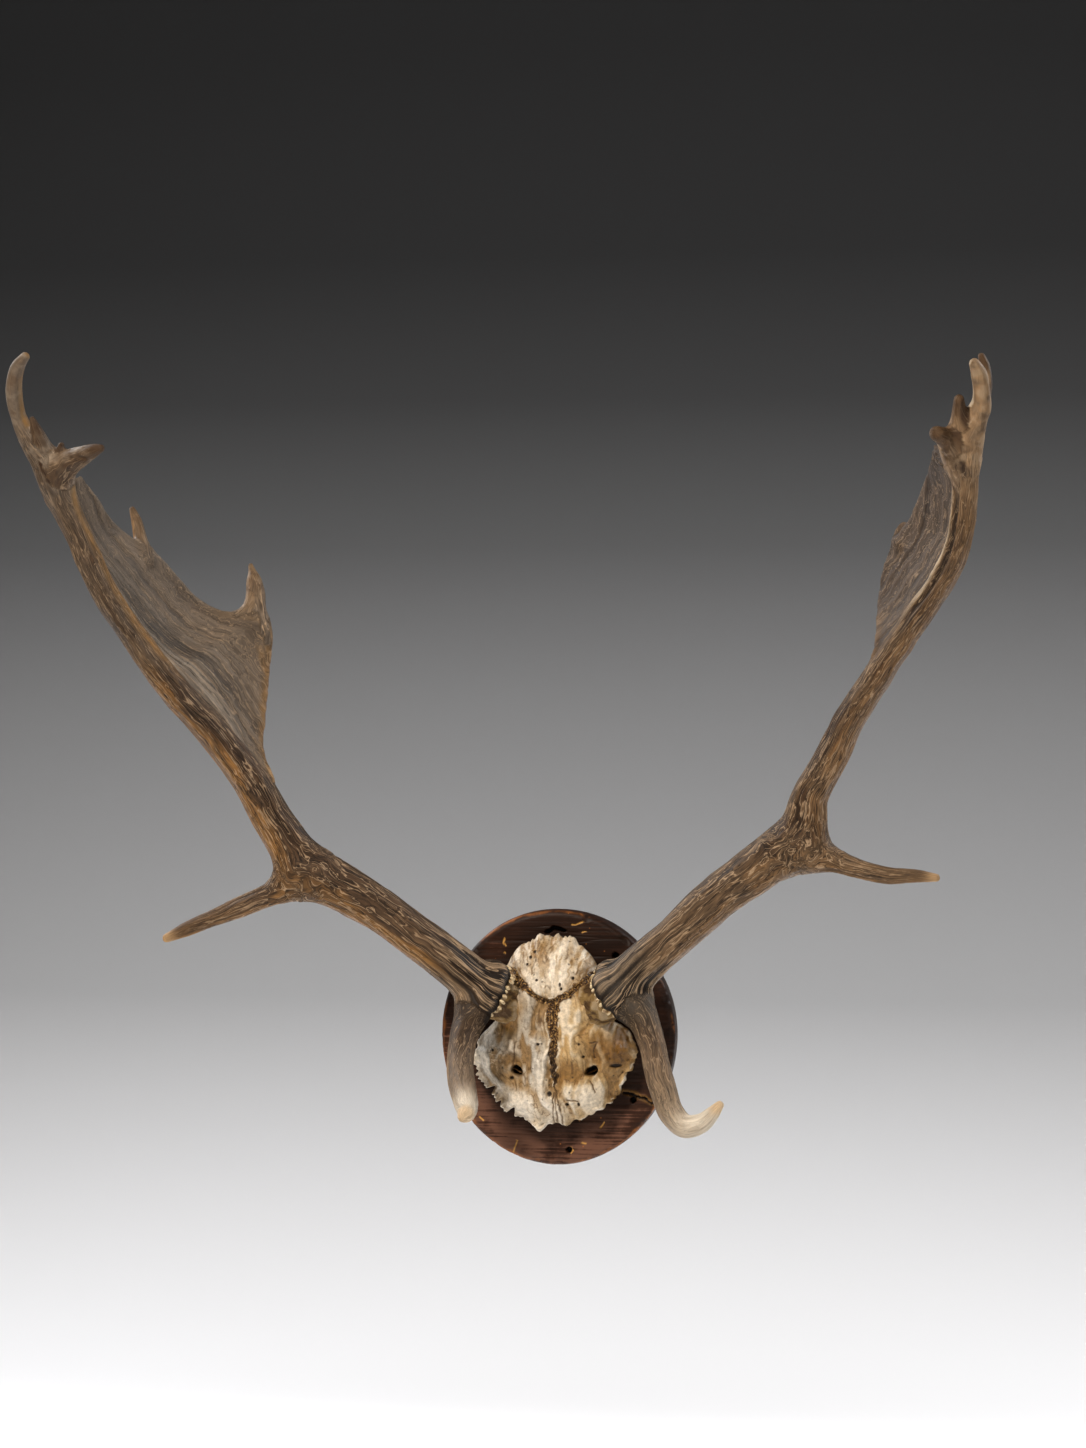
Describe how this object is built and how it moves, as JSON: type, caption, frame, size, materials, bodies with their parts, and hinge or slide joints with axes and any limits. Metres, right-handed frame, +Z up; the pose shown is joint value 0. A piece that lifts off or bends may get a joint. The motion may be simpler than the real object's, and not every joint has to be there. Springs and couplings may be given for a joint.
{
  "type": "mounted fallow deer antlers",
  "caption": "Pair of palmate fallow buck antlers on their cut skull plate, fixed to a dark oval wooden plaque that hangs flat on a wall.",
  "frame": {"origin": "centre of the plaque's flat back face, on the wall", "axes": "+Y into the wall, -Y into the room, +Z up, +X to the viewer's right"},
  "size_m": [0.6576, 0.3127, 0.5728],
  "materials": {
    "plaque_wood": "dark stained and waxed, worn at the rim",
    "skull_bone": "dry cleaned bone, cream with ochre and grey stains",
    "antler": "dry antler, grey-brown and guttered, polished at the tips"
  },
  "bodies": {
    "root": {"plaque": "plaque_wood", "skull_plate": "skull_bone", "left_beam": "antler", "left_brow_tine": "antler", "left_trez_tine": "antler", "left_palm": "antler", "right_beam": "antler", "right_brow_tine": "antler", "right_trez_tine": "antler", "right_palm": "antler"}
  },
  "joints": []
}
